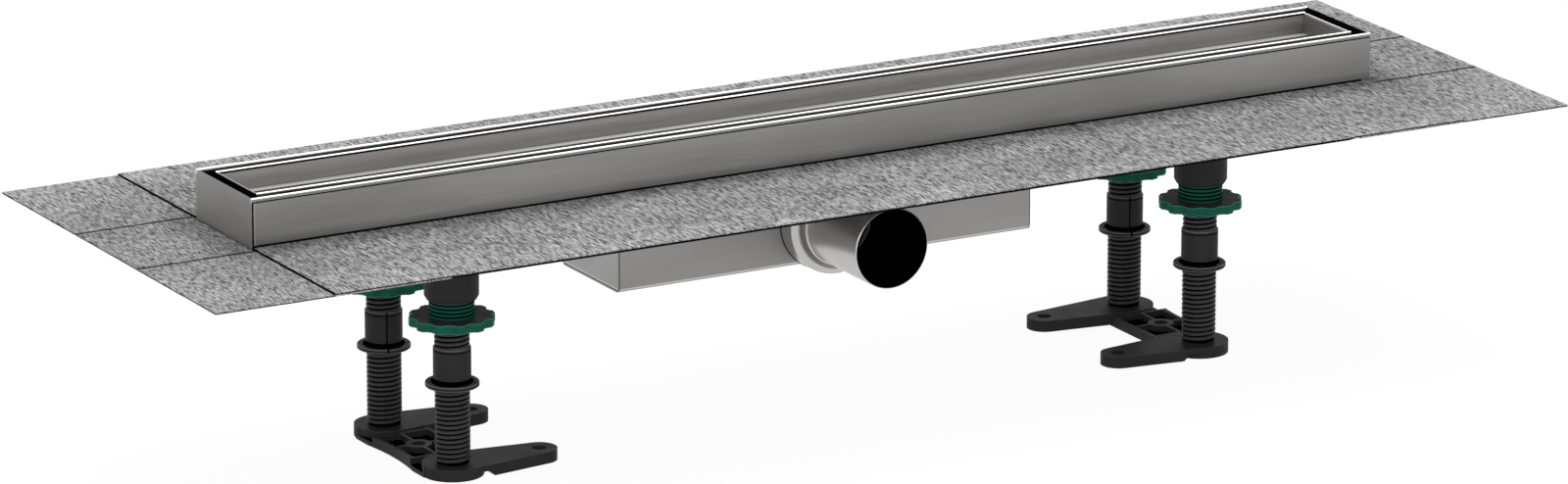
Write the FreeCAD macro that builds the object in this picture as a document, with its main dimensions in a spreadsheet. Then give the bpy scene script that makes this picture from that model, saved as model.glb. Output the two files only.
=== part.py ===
import FreeCAD, Part
import math
import os
import re
import Sketcher

# Linear shower drain with an upstand for tiles, a sealing fleece collar, a sump with a side
# outlet and four levelling feet. X runs along the channel, the outlet points to -Y, Z is up.
# The origin is on the floor, under the middle of the channel. Lengths are in millimetres.

# Driving sizes
SIZES = {
    # Channel
    "channel_length": 780,
    "channel_width": 76,
    "upstand": 30,
    "install_height": 157,
    "sheet": 1.2,
    "bend": 0.6,
    "hem_bulge": 0.4,
    "hem_thickness": 2.6,
    "hem_height": 2.3,
    "end_step": 0.5,
    "flange_width": 30,
    "flange_sheet": 1.2,
    "flange_corner": 8,
    # Fleece collar
    "fleece": 1,
    "fleece_side": 108,
    "fleece_end": 77,
    "fleece_lap": 76,
    "fleece_gap": 1,
    "seam_offset": 4,
    "seam_gap": 0.6,
    "drape": 8,
    # Tile tray and its rests
    "tray_end_gap": 6.8,
    "tray_side_gap": 7.2,
    "tray_drop": 0.2,
    "tray_depth": 13.8,
    "tray_hem": 2.4,
    "tray_hem_height": 1.8,
    "rest_width": 20,
    "rest_side_gap": 2.4,
    "rest_foot": 9,
    "rest_from_end": 90,
    "rest_from_sump_end": 34,
    # Sump and outlet
    "sump_length": 288,
    "sump_inset": 1.1,
    "sump_bend": 2.3,
    "sump_hole_step": 0.6,
    "outlet_diameter": 50,
    "outlet_wall": 1.2,
    "outlet_length": 59,
    "outlet_lift": 3.2,
    "mouth_chamfer": 0.5,
    "collar_gap": 0.1,
    "collar_flare": 7.5,
    "collar_length": 13,
    "collar_sheet": 1.5,
    "collar_edge": 1.2,
    "collar_step": 4.6,
    "collar_rise": 3.5,
    "collar_round": 0.4,
    "collar_lip": 1.2,
    "collar_valley": 2,
    "collar_neck": 7.5,
    "collar_swell": 0.8,
    "collar_taper": 1.2,
    # Trap insert
    "trap_hole": 62,
    "trap_lap": 3.5,
    "trap_flange_thickness": 2,
    "seal_thickness": 1.5,
    "neck_clearance": 0.4,
    "neck_depth": 5,
    "trap_wall": 1.5,
    "water_gap": 8,
    "water_seal": 25,
    "cup_clearance": 2.5,
    "cup_base": 2.5,
    "cup_rib": 8,
    "cup_rib_thickness": 2,
    "strainer_edge": 3.1,
    "strainer_fit": 0.05,
    "strainer_sheet": 1,
    "strainer_hole": 4.6,
    "strainer_rim": 6.5,
    "strainer_pitch": 8.5,
    "strainer_count_outer": 16,
    "strainer_count_inner": 9,
    "strainer_knob": 8,
    "strainer_knob_height": 3,
    # Levelling feet
    "leg_from_end": 128,
    "leg_inset": 7.4,
    "socket_length": 44.4,
    "socket_wall": 2.2,
    "socket_lip": 0.6,
    "socket_chamfer": 2.8,
    "socket_top": 4.5,
    "socket_head_clearance": 0.9,
    "weld_stud": 8,
    "weld_stud_length": 12,
    "weld_stud_fit": 0.3,
    "hex_flats": 13,
    "hex_height": 6.5,
    "hex_fit": 0.05,
    "nut_diameter": 52.2,
    "nut_flange": 5.5,
    "nut_wall": 2.7,
    "nut_fit": 0.6,
    "nut_show": 10,
    "nut_inside": 15,
    "nut_lobes": 12,
    "lobe_radius": 5,
    "lobe_depth": 1.4,
    "thread_diameter": 21.3,
    "thread_clearance": 0.4,
    "band_gap": 12.9,
    "stop_ring": 32.8,
    "stop_ring_height": 2.7,
    "band_step": 0.85,
    "band_length": 23,
    "upper_thread": 47,
    "pin_step": 1.5,
    "pin_fit": 0.05,
    # Base brackets
    "pad_height": 7.3,
    "pad_diameter": 37.6,
    "pad_floor": 2,
    "pad_base": 2.8,
    "pad_groove": 0.7,
    "groove_depth": 0.5,
    "arm_length": 58.5,
    "arm_tip": 22,
    "arm_hole": 9,
    "notch_length": 16.4,
    "notch_height": 3.6,
    "web_out": 19.5,
    "web_in": 20,
    "web_top": 6.5,
    "web_floor": 2.8,
    "web_wall": 2,
    "web_half": 25,
    "waist_radius": 180,
    "waist_depth": 2.5,
    "boss_diameter": 16,
    "boss_hole": 9,
}

doc = FreeCAD.newDocument("LinearShowerDrain")
sheet = doc.addObject("Spreadsheet::Sheet", "Sizes")
for row, (alias, value) in enumerate(SIZES.items(), start=1):
    sheet.set(f"A{row}", alias)
    sheet.set(f"B{row}", str(value))
    sheet.setAlias(f"B{row}", alias)
doc.recompute()

# Heights above the floor that several pieces share
RIM_TOP = "(install_height + upstand)"
END_FLEECE_TOP = "(install_height - fleece)"
FLANGE_TOP = "(install_height - 2 * fleece)"
FLANGE_UNDER = f"({FLANGE_TOP} - flange_sheet)"
FLOOR_UNDER = f"({FLANGE_TOP} - sheet)"
TRAY_TOP = f"({RIM_TOP} - tray_drop)"
TRAY_FLOOR = f"({TRAY_TOP} - tray_depth)"
TRAY_UNDER = f"({TRAY_FLOOR} - sheet)"
OUTLET_AXIS = f"({FLANGE_UNDER} - collar_gap - outlet_diameter / 2 - collar_flare)"
SUMP_BASE = f"({OUTLET_AXIS} - outlet_diameter / 2 - outlet_lift)"
SUMP_FLOOR = f"({SUMP_BASE} + sheet)"
SOCKET_UNDER = f"({FLANGE_UNDER} - socket_length)"
NUT_TOP = f"({SOCKET_UNDER} + nut_inside)"
NUT_SHOULDER = f"({SOCKET_UNDER} - nut_show)"
NUT_UNDER = f"({NUT_SHOULDER} - nut_flange)"
BAND_TOP = f"({NUT_UNDER} - band_gap)"
BAND_UNDER = f"({BAND_TOP} - band_length)"
RING_UNDER = f"({BAND_UNDER} - stop_ring_height)"
STUD_TOP = f"({BAND_TOP} + upper_thread)"
TRAP_FLANGE_UNDER = f"({FLANGE_TOP} + seal_thickness)"
TRAP_TOP = f"({TRAP_FLANGE_UNDER} + trap_flange_thickness)"
DIP_END = f"({SUMP_FLOOR} + cup_base + cup_rib)"
CUP_RIM = f"({DIP_END} + water_seal)"

# Places that several pieces share
HALF_LENGTH = "(channel_length / 2)"
CHANNEL_FACE = "(channel_width / 2 - hem_bulge)"
CHANNEL_INSIDE = f"({CHANNEL_FACE} - sheet)"
HEM_INSIDE = "(channel_width / 2 - hem_thickness)"
TRAY_END = f"({HALF_LENGTH} - sheet - tray_end_gap)"
TRAY_EDGE = f"({HEM_INSIDE} - tray_side_gap)"
SUMP_END = "(sump_length / 2)"
SUMP_FACE = f"({CHANNEL_FACE} - sump_inset)"
LEG_X = f"({HALF_LENGTH} - leg_from_end)"
LEG_Y = f"({CHANNEL_FACE} + leg_inset)"

# Radii that several pieces share
OUTLET_OUTSIDE = "(outlet_diameter / 2)"
OUTLET_BORE = f"({OUTLET_OUTSIDE} - outlet_wall)"
TRAP_NECK = "(trap_hole / 2 - neck_clearance)"
TRAP_EDGE = "(trap_hole / 2 + trap_lap)"
CUP_OUTSIDE = "(trap_hole / 2 - cup_clearance)"
DIP_OUTSIDE = f"({CUP_OUTSIDE} - trap_wall - water_gap)"
STRAINER_EDGE = f"({TRAP_NECK} - strainer_edge)"
NUT_BORE = "(thread_diameter / 2 + thread_clearance)"
NUT_NECK = f"({NUT_BORE} + nut_wall)"
SOCKET_BORE = f"({NUT_NECK} + nut_fit)"
PIN = "(thread_diameter / 2 - pin_step)"


def number(text):
    """Give the present value of an expression in the sheet's aliases."""
    return float(sheet.evalExpression(text))


def linked(text):
    """Write an expression so that its aliases point at the sheet."""
    return re.sub(r"[a-z][a-z0-9_]*", lambda word: sheet_name(word.group()), text)


def sheet_name(word):
    """Put the sheet's name before a word that is one of its aliases."""
    return f"Sizes.{word}" if word in SIZES else word


def minus(text):
    """Give the negative of an expression."""
    return f"(-({text}))"


def new_body(label, x="0", y="0", z="0", turn=None):
    """Start a sub-part at a bound place, turned by an optional rotation."""
    body = doc.addObject("PartDesign::Body", label)
    body.Label = label
    if turn is not None:
        body.Placement = FreeCAD.Placement(FreeCAD.Vector(), turn)
    for axis, place in (("x", x), ("y", y), ("z", z)):
        body.setExpression(f"Placement.Base.{axis}", linked(place))
    return body


def origin_part(body, role):
    """Find one of a body's origin planes or axes."""
    return next(item for item in body.Origin.OriginFeatures if item.Role == role)


def new_sketch(body, role, offset="0"):
    """Start a sketch on an origin plane, moved along its normal by a bound offset."""
    sketch = body.newObject("Sketcher::SketchObject", f"{body.Label}_sketch")
    sketch.AttachmentSupport = [(origin_part(body, role), "")]
    sketch.MapMode = "FlatFace"
    sketch.setExpression("AttachmentOffset.Base.z", linked(offset))
    return sketch


def fix_point(sketch, geometry, position, x, y):
    """Bind one point of a sketch to a pair of expressions."""
    for kind, place in (("DistanceX", x), ("DistanceY", y)):
        rule = Sketcher.Constraint(kind, -1, 1, geometry, position, number(place))
        index = sketch.addConstraint(rule)
        name = f"{kind[-1].lower()}{index}"
        sketch.renameConstraint(index, name)
        sketch.setExpression(f"Constraints.{name}", linked(place))


def nearest_end(sketch, geometry, point):
    """Say which end of an arc lies at a point."""
    first = sketch.getPoint(geometry, 1).distanceToPoint(point)
    last = sketch.getPoint(geometry, 2).distanceToPoint(point)
    return 1 if first < last else 2


def outline(sketch, corners):
    """Draw a closed outline through corners, each (x, y) or (x, y, rounding radius)."""
    count = len(corners)
    spots = [FreeCAD.Vector(number(corner[0]), number(corner[1]), 0) for corner in corners]
    arrive = []
    leave = []
    middles = []
    for index, corner in enumerate(corners):
        spot = spots[index]
        if len(corner) < 3:
            arrive.append(spot)
            leave.append(spot)
            middles.append(None)
            continue
        radius = number(corner[2])
        back = (spots[index - 1] - spot).normalize()
        ahead = (spots[(index + 1) % count] - spot).normalize()
        half = back.getAngle(ahead) / 2
        bisector = (back + ahead).normalize()
        arrive.append(spot + back * (radius / math.tan(half)))
        leave.append(spot + ahead * (radius / math.tan(half)))
        middles.append(spot + bisector * (radius / math.sin(half) - radius))
    lines = []
    for index in range(count):
        line = Part.LineSegment(leave[index], arrive[(index + 1) % count])
        lines.append(sketch.addGeometry(line))
    for index, corner in enumerate(corners):
        before = lines[index - 1]
        after = lines[index]
        if len(corner) < 3:
            sketch.addConstraint(Sketcher.Constraint("Coincident", before, 2, after, 1))
            fix_point(sketch, after, 1, corner[0], corner[1])
            continue
        arc = sketch.addGeometry(Part.Arc(arrive[index], middles[index], leave[index]))
        entry = nearest_end(sketch, arc, arrive[index])
        sketch.addConstraint(Sketcher.Constraint("Tangent", before, 2, arc, entry))
        sketch.addConstraint(Sketcher.Constraint("Tangent", after, 1, arc, 3 - entry))
        rule = sketch.addConstraint(Sketcher.Constraint("Radius", arc, number(corner[2])))
        sketch.renameConstraint(rule, f"r{rule}")
        sketch.setExpression(f"Constraints.r{rule}", linked(corner[2]))
        point = sketch.addGeometry(Part.Point(spots[index]), True)
        sketch.addConstraint(Sketcher.Constraint("PointOnObject", point, 1, before))
        sketch.addConstraint(Sketcher.Constraint("PointOnObject", point, 1, after))
        fix_point(sketch, point, 1, corner[0], corner[1])


def circle(sketch, x, y, radius):
    """Draw a circle with a bound centre and radius."""
    centre = FreeCAD.Vector(number(x), number(y), 0)
    up = FreeCAD.Vector(0, 0, 1)
    ring = sketch.addGeometry(Part.Circle(centre, up, number(radius)))
    rule = sketch.addConstraint(Sketcher.Constraint("Radius", ring, number(radius)))
    sketch.renameConstraint(rule, f"r{rule}")
    sketch.setExpression(f"Constraints.r{rule}", linked(radius))
    fix_point(sketch, ring, 3, x, y)


def rectangle(sketch, x0, y0, x1, y1):
    """Draw a rectangle between two bound corners."""
    outline(sketch, [(x0, y0), (x1, y0), (x1, y1), (x0, y1)])


def pad(body, sketch, length, both_ways=False, reverse=False):
    """Extrude a sketch along its normal, or half of the length to each side of it."""
    feature = body.newObject("PartDesign::Pad", f"{body.Label}_pad")
    feature.Profile = sketch
    feature.SideType = "Symmetric" if both_ways else "One side"
    feature.Reversed = reverse
    feature.setExpression("Length", linked(length))
    doc.recompute()
    return feature


def pocket(body, sketch, length, reverse=False):
    """Cut a sketch into the body against its normal, and prove that it cut something."""
    before = body.Shape.Volume
    feature = body.newObject("PartDesign::Pocket", f"{body.Label}_pocket")
    feature.Profile = sketch
    feature.Reversed = reverse
    feature.setExpression("Length", linked(length))
    doc.recompute()
    if not body.Shape.Volume < before:
        raise RuntimeError(f"{feature.Label} cuts nothing")
    return feature


def revolve(body, sketch):
    """Turn a sketch once round the body's own upright axis."""
    feature = body.newObject("PartDesign::Revolution", f"{body.Label}_revolution")
    feature.Profile = sketch
    feature.ReferenceAxis = (sketch, ["V_Axis"])
    feature.Angle = 360
    doc.recompute()
    return feature


def polar(body, features, count):
    """Repeat features round the body's upright axis."""
    pattern = body.newObject("PartDesign::PolarPattern", f"{body.Label}_polar")
    pattern.Originals = features
    pattern.Axis = (origin_part(body, "Z_Axis"), [""])
    pattern.Angle = 360
    pattern.setExpression("Occurrences", linked(count))
    body.Tip = pattern
    doc.recompute()
    return pattern


def mirrored(body, features, role):
    """Mirror features across one of the body's origin planes."""
    mirror = body.newObject("PartDesign::Mirrored", f"{body.Label}_mirror")
    mirror.Originals = features
    mirror.MirrorPlane = (origin_part(body, role), [""])
    body.Tip = mirror
    doc.recompute()
    return mirror


def turned(body, profile):
    """Revolve a profile of (radius, height) corners round the body's upright axis."""
    sketch = new_sketch(body, "XZ_Plane")
    outline(sketch, profile)
    return revolve(body, sketch)


def block(label, x0, y0, z0, x1, y1, z1):
    """Make a plain block between two bound corners."""
    body = new_body(label)
    sketch = new_sketch(body, "XY_Plane", z0)
    rectangle(sketch, x0, y0, x1, y1)
    pad(body, sketch, f"({z1}) - ({z0})")
    return body


def hemmed_trough(face, under, top, bulge, hem, hem_height):
    """Give the corners of a folded trough whose side walls end in rounded hems."""
    outside = f"({face} + {bulge})"
    inside = f"({outside} - {hem})"
    wall = f"({face} - sheet)"
    hem_under = f"({top} - {hem_height})"
    crown = f"({hem} * 0.45)"
    half = [
        (face, under, "bend + sheet"),
        (face, hem_under),
        (outside, hem_under),
        (outside, top, crown),
        (inside, top, crown),
        (inside, hem_under),
        (wall, hem_under),
        (wall, f"({under} + sheet)", "bend"),
    ]
    other = [(minus(corner[0]),) + corner[1:] for corner in reversed(half)]
    return half + other


def channel():
    """Folded steel trough with hemmed long walls, and its two end plates."""
    body = new_body("channel_body")
    sketch = new_sketch(body, "YZ_Plane")
    outline(sketch, hemmed_trough(CHANNEL_FACE, FLOOR_UNDER, RIM_TOP,
                                  "hem_bulge", "hem_thickness", "hem_height"))
    pad(body, sketch, "channel_length", both_ways=True)
    hole = new_sketch(body, "XY_Plane", FLANGE_TOP)
    circle(hole, "0", "0", "trap_hole / 2")
    pocket(body, hole, "sheet")
    top = f"({RIM_TOP} - end_step)"
    hem_under = f"({RIM_TOP} - hem_height)"
    profile = [
        (minus(CHANNEL_INSIDE), FLANGE_TOP, "bend"),
        (CHANNEL_INSIDE, FLANGE_TOP, "bend"),
        (CHANNEL_INSIDE, hem_under),
        (HEM_INSIDE, hem_under),
        (HEM_INSIDE, top),
        (minus(HEM_INSIDE), top),
        (minus(HEM_INSIDE), hem_under),
        (minus(CHANNEL_INSIDE), hem_under),
    ]
    for label, start in (("channel_end_left", minus(HALF_LENGTH)),
                         ("channel_end_right", f"({HALF_LENGTH} - sheet)")):
        end = new_body(label)
        face = new_sketch(end, "YZ_Plane", start)
        outline(face, profile)
        pad(end, face, "sheet")


def collar_flange():
    """Flat steel frame welded round the channel, which carries the fleece and the feet."""
    body = new_body("collar_flange")
    sketch = new_sketch(body, "XY_Plane", FLANGE_UNDER)
    long_half = f"({HALF_LENGTH} + flange_width)"
    wide_half = f"({CHANNEL_FACE} + flange_width)"
    outline(sketch, [
        (minus(long_half), minus(wide_half), "flange_corner"),
        (long_half, minus(wide_half), "flange_corner"),
        (long_half, wide_half, "flange_corner"),
        (minus(long_half), wide_half, "flange_corner"),
    ])
    rectangle(sketch, minus(HALF_LENGTH), minus(CHANNEL_FACE), HALF_LENGTH, CHANNEL_FACE)
    pad(body, sketch, "flange_sheet")


def fleece_collar():
    """Two long sheets that lie over six end sheets, all bonded to the flange."""
    lap_edge = f"({HALF_LENGTH} - fleece_lap)"
    drape_start = f"({lap_edge} - fleece_gap)"
    drape_end = f"({drape_start} - drape)"
    half = [
        (drape_end, FLANGE_TOP),
        (drape_start, END_FLEECE_TOP),
        (HALF_LENGTH, END_FLEECE_TOP),
        (HALF_LENGTH, "install_height"),
        (drape_start, "install_height"),
        (drape_end, END_FLEECE_TOP),
    ]
    profile = half + [(minus(corner[0]), corner[1]) for corner in reversed(half)]
    near = "(channel_width / 2 + fleece_gap)"
    far = "(channel_width / 2 + fleece_side)"
    for label, start in (("fleece_front", near), ("fleece_back", minus(far))):
        body = new_body(label)
        sketch = new_sketch(body, "XZ_Plane", start)
        outline(sketch, profile)
        pad(body, sketch, f"{far} - {near}")
    outer = f"({HALF_LENGTH} + fleece_end)"
    seam = "(channel_width / 2 + seam_offset)"
    beside = f"({seam} + seam_gap / 2)"
    within = f"({seam} - seam_gap / 2)"
    for side, low, high, edge in (("left", minus(outer), minus(lap_edge), minus(HALF_LENGTH)),
                                  ("right", lap_edge, outer, HALF_LENGTH)):
        block(f"fleece_{side}_front", low, minus(far), FLANGE_TOP, high, minus(beside),
              END_FLEECE_TOP)
        block(f"fleece_{side}_back", low, beside, FLANGE_TOP, high, far, END_FLEECE_TOP)
        ends = (low, f"({edge} - fleece_gap)") if side == "left" else (
            f"({edge} + fleece_gap)", high)
        block(f"fleece_{side}_middle", ends[0], minus(within), FLANGE_TOP, ends[1], within,
              END_FLEECE_TOP)


def tile_tray():
    """Shallow folded pan that takes the tile, and the four bent strips that it rests on."""
    body = new_body("tile_tray")
    face = f"({TRAY_EDGE} - hem_bulge)"
    wall = f"({face} - sheet)"
    hem_edge = f"({TRAY_EDGE} - tray_hem)"
    hem_under = f"({TRAY_TOP} - tray_hem_height)"
    sketch = new_sketch(body, "YZ_Plane")
    outline(sketch, hemmed_trough(face, TRAY_UNDER, TRAY_TOP,
                                  "hem_bulge", "tray_hem", "tray_hem_height"))
    pad(body, sketch, f"2 * {TRAY_END}", both_ways=True)
    top = f"({TRAY_TOP} - end_step)"
    profile = [
        (minus(wall), TRAY_FLOOR, "bend"),
        (wall, TRAY_FLOOR, "bend"),
        (wall, hem_under),
        (hem_edge, hem_under),
        (hem_edge, top),
        (minus(hem_edge), top),
        (minus(hem_edge), hem_under),
        (minus(wall), hem_under),
    ]
    for start in (minus(TRAY_END), f"({TRAY_END} - sheet)"):
        end = new_sketch(body, "YZ_Plane", start)
        outline(end, profile)
        pad(body, end, "sheet")
    outer = f"({HALF_LENGTH} - rest_from_end)"
    inner = f"({SUMP_END} - rest_from_sump_end)"
    places = {
        "tray_rest_left_outer": minus(outer),
        "tray_rest_left_inner": minus(inner),
        "tray_rest_right_inner": inner,
        "tray_rest_right_outer": outer,
    }
    for label, place in places.items():
        tray_rest(label, place)


def tray_rest(label, place):
    """Bent strip that stands on the channel floor and carries the tray."""
    body = new_body(label, x=place)
    foot = f"({CHANNEL_INSIDE} - rest_side_gap)"
    leg = f"({foot} - rest_foot)"
    foot_top = f"({FLANGE_TOP} + sheet)"
    half = [
        (foot, FLANGE_TOP),
        (foot, foot_top),
        (leg, foot_top, "bend"),
        (leg, TRAY_UNDER, "bend + sheet"),
    ]
    inner = [
        (f"({leg} - sheet)", f"({TRAY_UNDER} - sheet)", "bend"),
        (f"({leg} - sheet)", FLANGE_TOP, "bend + sheet"),
    ]
    across = [(minus(corner[0]),) + corner[1:] for corner in reversed(half)]
    back = [(minus(corner[0]),) + corner[1:] for corner in reversed(inner)]
    sketch = new_sketch(body, "YZ_Plane")
    outline(sketch, half + across + back + inner)
    pad(body, sketch, "rest_width", both_ways=True)


def sump():
    """Folded steel box below the channel, with a hole for the outlet in its front wall."""
    body = new_body("sump_body")
    inside = f"({SUMP_FACE} - sheet)"
    sketch = new_sketch(body, "YZ_Plane")
    outline(sketch, [
        (SUMP_FACE, SUMP_BASE, "sump_bend + sheet"),
        (SUMP_FACE, FLOOR_UNDER),
        (inside, FLOOR_UNDER),
        (inside, SUMP_FLOOR, "sump_bend"),
        (minus(inside), SUMP_FLOOR, "sump_bend"),
        (minus(inside), FLOOR_UNDER),
        (minus(SUMP_FACE), FLOOR_UNDER),
        (minus(SUMP_FACE), SUMP_BASE, "sump_bend + sheet"),
    ])
    pad(body, sketch, "sump_length", both_ways=True)
    hole = new_sketch(body, "XZ_Plane")
    circle(hole, "0", OUTLET_AXIS, f"{OUTLET_OUTSIDE} - sump_hole_step")
    pocket(body, hole, SUMP_FACE, reverse=True)
    profile = [
        (inside, SUMP_FLOOR, "sump_bend"),
        (inside, FLOOR_UNDER),
        (minus(inside), FLOOR_UNDER),
        (minus(inside), SUMP_FLOOR, "sump_bend"),
    ]
    for label, start in (("sump_end_left", minus(SUMP_END)),
                         ("sump_end_right", f"({SUMP_END} - sheet)")):
        end = new_body(label)
        face = new_sketch(end, "YZ_Plane", start)
        outline(face, profile)
        pad(end, face, "sheet")


def outlet():
    """Drawn steel collar on the sump wall, with a raised ring, and the spigot at its end."""
    towards_front = FreeCAD.Rotation(FreeCAD.Vector(1, 0, 0), 90)
    collar = new_body("outlet_collar", y=minus(SUMP_FACE), z=OUTLET_AXIS, turn=towards_front)
    rim = f"({OUTLET_OUTSIDE} + collar_flare)"
    rim_inside = f"({rim} - collar_sheet)"
    face_inside = "(collar_length - collar_sheet)"
    ring = f"({OUTLET_OUTSIDE} + collar_step)"
    ring_top = "(collar_length + collar_rise)"
    neck = f"({OUTLET_OUTSIDE} + collar_swell)"
    throat = f"({OUTLET_BORE} + collar_swell)"
    end = "(collar_length + collar_neck)"
    taper = f"({end} - collar_taper)"
    turned(collar, [
        (rim_inside, "0"),
        (rim, "0"),
        (rim, "collar_length", "collar_edge"),
        (ring, ring_top, "collar_round"),
        (f"{ring} - collar_lip", ring_top, "collar_round"),
        (neck, f"{ring_top} - collar_valley"),
        (neck, taper),
        (OUTLET_OUTSIDE, end),
        (OUTLET_BORE, end),
        (OUTLET_BORE, taper),
        (throat, f"{taper} - collar_swell"),
        (throat, face_inside),
        (rim_inside, face_inside),
    ])
    spigot = new_body("outlet_spigot", y=minus(f"{SUMP_FACE} + {end}"), z=OUTLET_AXIS,
                      turn=towards_front)
    turned(spigot, [
        (OUTLET_BORE, "0"),
        (OUTLET_OUTSIDE, "0"),
        (OUTLET_OUTSIDE, "outlet_length - mouth_chamfer"),
        (f"{OUTLET_OUTSIDE} - mouth_chamfer", "outlet_length"),
        (OUTLET_BORE, "outlet_length"),
    ])


def trap():
    """Lift-out water trap: flat seal, flanged dip tube, cup round it and hair strainer."""
    seal = new_body("trap_seal")
    turned(seal, [
        ("trap_hole / 2", FLANGE_TOP),
        (TRAP_EDGE, FLANGE_TOP),
        (TRAP_EDGE, TRAP_FLANGE_UNDER),
        ("trap_hole / 2", TRAP_FLANGE_UNDER),
    ])
    tube = new_body("trap_dip_tube")
    seat = f"({TRAP_TOP} - strainer_sheet)"
    seat_edge = f"({STRAINER_EDGE} + strainer_fit)"
    neck_end = f"({FLANGE_TOP} - neck_depth)"
    funnel_end = f"({neck_end} - neck_depth)"
    turned(tube, [
        (DIP_OUTSIDE, DIP_END),
        (DIP_OUTSIDE, funnel_end),
        (TRAP_NECK, neck_end),
        (TRAP_NECK, TRAP_FLANGE_UNDER),
        (TRAP_EDGE, TRAP_FLANGE_UNDER),
        (TRAP_EDGE, TRAP_TOP),
        (seat_edge, TRAP_TOP),
        (seat_edge, seat),
        (f"({seat_edge} - trap_wall)", seat),
        (f"({seat_edge} - trap_wall)", neck_end),
        (f"{DIP_OUTSIDE} - trap_wall", funnel_end),
        (f"{DIP_OUTSIDE} - trap_wall", DIP_END),
    ])
    cup = new_body("trap_cup")
    cup_floor = f"({SUMP_FLOOR} + cup_base)"
    cup_inside = f"({CUP_OUTSIDE} - trap_wall)"
    turned(cup, [
        ("0", SUMP_FLOOR),
        (CUP_OUTSIDE, SUMP_FLOOR, "trap_wall"),
        (CUP_OUTSIDE, CUP_RIM),
        (cup_inside, CUP_RIM),
        (cup_inside, cup_floor),
        ("0", cup_floor),
    ])
    rib = new_sketch(cup, "XY_Plane", cup_floor)
    rectangle(rib, f"{DIP_OUTSIDE} - 2 * trap_wall", "-cup_rib_thickness / 2",
              f"{CUP_OUTSIDE} - trap_wall / 2", "cup_rib_thickness / 2")
    polar(cup, [pad(cup, rib, "cup_rib")], "3")
    strainer = new_body("hair_strainer")
    disc = new_sketch(strainer, "XY_Plane", seat)
    circle(disc, "0", "0", STRAINER_EDGE)
    pad(strainer, disc, "strainer_sheet")
    outer_ring = f"({STRAINER_EDGE} - strainer_rim)"
    for ring, count in ((outer_ring, "strainer_count_outer"),
                        (f"{outer_ring} - strainer_pitch", "strainer_count_inner")):
        hole = new_sketch(strainer, "XY_Plane", TRAP_TOP)
        circle(hole, ring, "0", "strainer_hole / 2")
        polar(strainer, [pocket(strainer, hole, "strainer_sheet")], count)
    knob = new_sketch(strainer, "XY_Plane", TRAP_TOP)
    circle(knob, "0", "0", "strainer_knob / 2")
    pad(strainer, knob, "strainer_knob_height")


def leg_socket(label, x, y):
    """Plastic tube bolted under the flange, open at the bottom for nut and stud."""
    body = new_body(label, x=x, y=y)
    outside = f"({SOCKET_BORE} + socket_wall)"
    head_bore = "(thread_diameter / 2 + socket_head_clearance)"
    head_under = f"({FLANGE_UNDER} - socket_top)"
    neck_top = f"({NUT_TOP} + thread_clearance)"
    turned(body, [
        (SOCKET_BORE, SOCKET_UNDER),
        (f"{SOCKET_BORE} + socket_lip", SOCKET_UNDER),
        (outside, f"({SOCKET_UNDER} + socket_chamfer)"),
        (outside, FLANGE_UNDER),
        ("weld_stud / 2 + weld_stud_fit", FLANGE_UNDER),
        ("weld_stud / 2 + weld_stud_fit", head_under),
        (head_bore, head_under),
        (head_bore, neck_top),
        (SOCKET_BORE, neck_top),
    ])


def levelling_nut(label, x, y):
    """Hand nut: a lobed flange, and a neck that turns in the socket."""
    body = new_body(label, x=x, y=y)
    base = new_sketch(body, "XY_Plane", NUT_UNDER)
    circle(base, "0", "0", "nut_diameter / 2")
    pad(body, base, "nut_flange")
    scallop = new_sketch(body, "XY_Plane", NUT_SHOULDER)
    circle(scallop, "nut_diameter / 2 + lobe_radius - lobe_depth", "0", "lobe_radius")
    polar(body, [pocket(body, scallop, "nut_flange")], "nut_lobes")
    neck = new_sketch(body, "XY_Plane", NUT_SHOULDER)
    circle(neck, "0", "0", NUT_NECK)
    pad(body, neck, "nut_show + nut_inside")
    bore = new_sketch(body, "XY_Plane", NUT_TOP)
    circle(bore, "0", "0", NUT_BORE)
    pocket(body, bore, "nut_show + nut_inside + nut_flange")


def threaded_stud(label, x, y):
    """Plastic stud: pin in the bracket, lower thread, stop ring, plain band, upper thread."""
    body = new_body(label, x=x, y=y)
    thread = "(thread_diameter / 2)"
    band = f"({thread} + band_step)"
    turned(body, [
        ("0", "pad_floor"),
        (PIN, "pad_floor"),
        (PIN, "pad_height"),
        (thread, "pad_height"),
        (thread, RING_UNDER),
        ("stop_ring / 2", RING_UNDER),
        ("stop_ring / 2", BAND_UNDER),
        (band, BAND_UNDER),
        (band, BAND_TOP),
        (thread, BAND_TOP),
        (thread, STUD_TOP),
        ("0", STUD_TOP),
    ])


def base_bracket(label, x, turn):
    """U-shaped foot: two round pads, two tapered arms and a ribbed web between the pads."""
    body = new_body(label, x=x, turn=FreeCAD.Rotation(FreeCAD.Vector(0, 0, 1), turn))
    web = new_sketch(body, "XY_Plane")
    rectangle(web, minus("web_out"), minus(LEG_Y), "web_in", LEG_Y)
    pad(body, web, "web_top")
    web_pockets(body)
    waist = new_sketch(body, "XY_Plane", "web_top")
    circle(waist, minus("web_out + waist_radius - waist_depth"), "0", "waist_radius")
    pocket(body, waist, "web_top")
    boss = new_sketch(body, "XY_Plane")
    circle(boss, "0", "0", "boss_diameter / 2")
    pad(body, boss, "web_top")
    hole = new_sketch(body, "XY_Plane", "web_top")
    circle(hole, "0", "0", "boss_hole / 2")
    pocket(body, hole, "web_top")
    bracket_arms(body)
    recess = new_sketch(body, "XY_Plane", "pad_height")
    circle(recess, "0", LEG_Y, f"{PIN} + pin_fit")
    circle(recess, "0", minus(LEG_Y), f"{PIN} + pin_fit")
    pocket(body, recess, "pad_height - pad_floor")


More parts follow.
